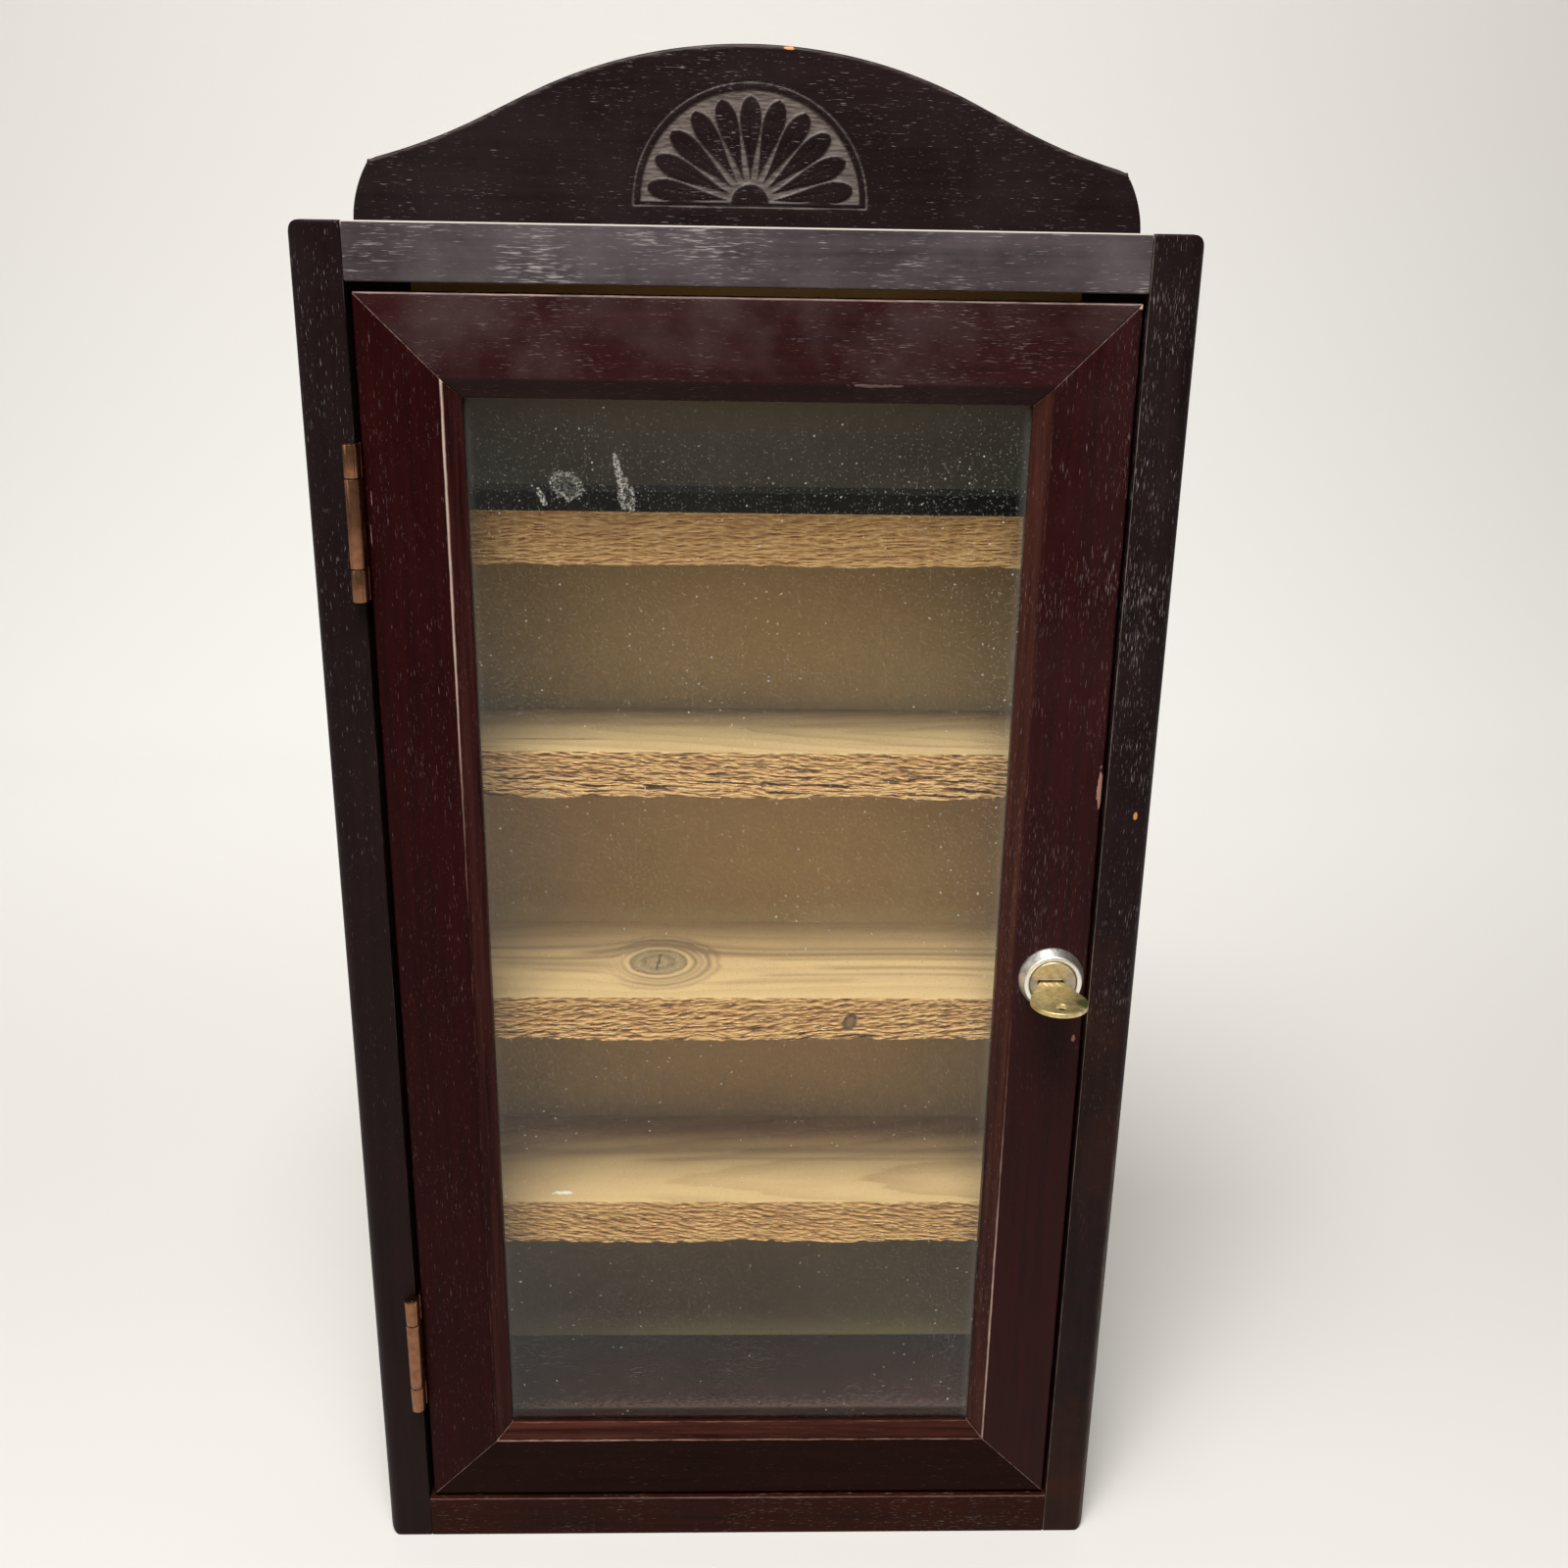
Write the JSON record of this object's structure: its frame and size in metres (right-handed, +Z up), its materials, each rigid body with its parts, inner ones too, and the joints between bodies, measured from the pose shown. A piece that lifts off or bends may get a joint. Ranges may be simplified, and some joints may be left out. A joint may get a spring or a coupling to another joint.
{
  "type": "knife display cabinet",
  "caption": "Countertop display case for knives: wooden carcass with fixed shelves, a glazed mitred door on butt hinges, a cam lock with its key, and an arched crest board.",
  "frame": {"origin": "middle of the flat underside that the case stands on", "axes": "+Z up, +X to the right as seen by someone facing the door, +Y to the back; the door faces -Y"},
  "size_m": [0.33, 0.1579, 0.6484],
  "materials": {
    "case_wood": "dark espresso stain under worn satin lacquer",
    "door_wood": "dark red-brown mahogany stain, open pores",
    "shelf_wood": "rough-sawn bare softwood, weathered",
    "panel_board": "smooth tan hardboard",
    "cleat_wood": "stained softwood strip",
    "dowel_wood": "bare beech",
    "clear_glass": "clear float glass, dusty",
    "copper_plate": "steel with worn copper-bronze plating",
    "satin_nickel": "satin nickel plate on a zinc casting",
    "bright_steel": "zinc-plated steel",
    "key_brass": "dull tarnished brass"
  },
  "bodies": {
    "case": {"side_left": "case_wood", "side_right": "case_wood", "top_board": "case_wood", "bottom_board": "case_wood", "crest_board": "case_wood", "back_panel": "panel_board", "corner_dowels": "dowel_wood", "shelf_1": "shelf_wood", "shelf_2": "shelf_wood", "shelf_3": "shelf_wood", "shelf_4": "shelf_wood", "shelf_cleat_left_1": "cleat_wood", "shelf_cleat_left_2": "cleat_wood", "shelf_cleat_left_3": "cleat_wood", "shelf_cleat_left_4": "cleat_wood", "shelf_cleat_right_1": "cleat_wood", "shelf_cleat_right_2": "cleat_wood", "shelf_cleat_right_3": "cleat_wood", "shelf_cleat_right_4": "cleat_wood", "door_stop_lower": "cleat_wood", "door_stop_upper": "cleat_wood", "panel_brads": "bright_steel", "cleat_brads": "bright_steel", "stop_brads": "bright_steel", "crest_screws": "bright_steel", "hinge_upper_case_leaf": "copper_plate", "hinge_upper_pin": "bright_steel", "hinge_lower_case_leaf": "copper_plate", "hinge_lower_pin": "bright_steel", "hinge_case_screws": "copper_plate"},
    "door": {"door_stile_left": "door_wood", "door_stile_right": "door_wood", "door_rail_top": "door_wood", "door_rail_bottom": "door_wood", "glazing_bead_left": "door_wood", "glazing_bead_right": "door_wood", "glazing_bead_top": "door_wood", "glazing_bead_bottom": "door_wood", "bead_brads": "bright_steel", "mitre_splines": "dowel_wood", "glass_pane": "clear_glass", "hinge_upper_door_leaf": "copper_plate", "hinge_lower_door_leaf": "copper_plate", "hinge_door_screws": "copper_plate", "lock_housing": "satin_nickel", "lock_nut": "bright_steel"},
    "lock_barrel": {"lock_plug": "satin_nickel", "lock_cam": "bright_steel", "cam_screw": "bright_steel"},
    "key": {"key": "key_brass"}
  },
  "joints": [
    {"name": "door_hinge", "type": "hinge", "parent": "case", "child": "door", "pos_m": [-0.14655, -0.0653, 0.2926], "axis": [0, 0, -1], "range_deg": [0, 175]},
    {"name": "lock_turn", "type": "hinge", "parent": "door", "child": "lock_barrel", "pos_m": [0.129, -0.0663, 0.2915], "axis": [0, -1, 0], "range_deg": [0, 90]},
    {"name": "key_slide", "type": "slide", "parent": "lock_barrel", "child": "key", "axis": [0, -1, 0], "range_m": [0, 0.03]}
  ]
}
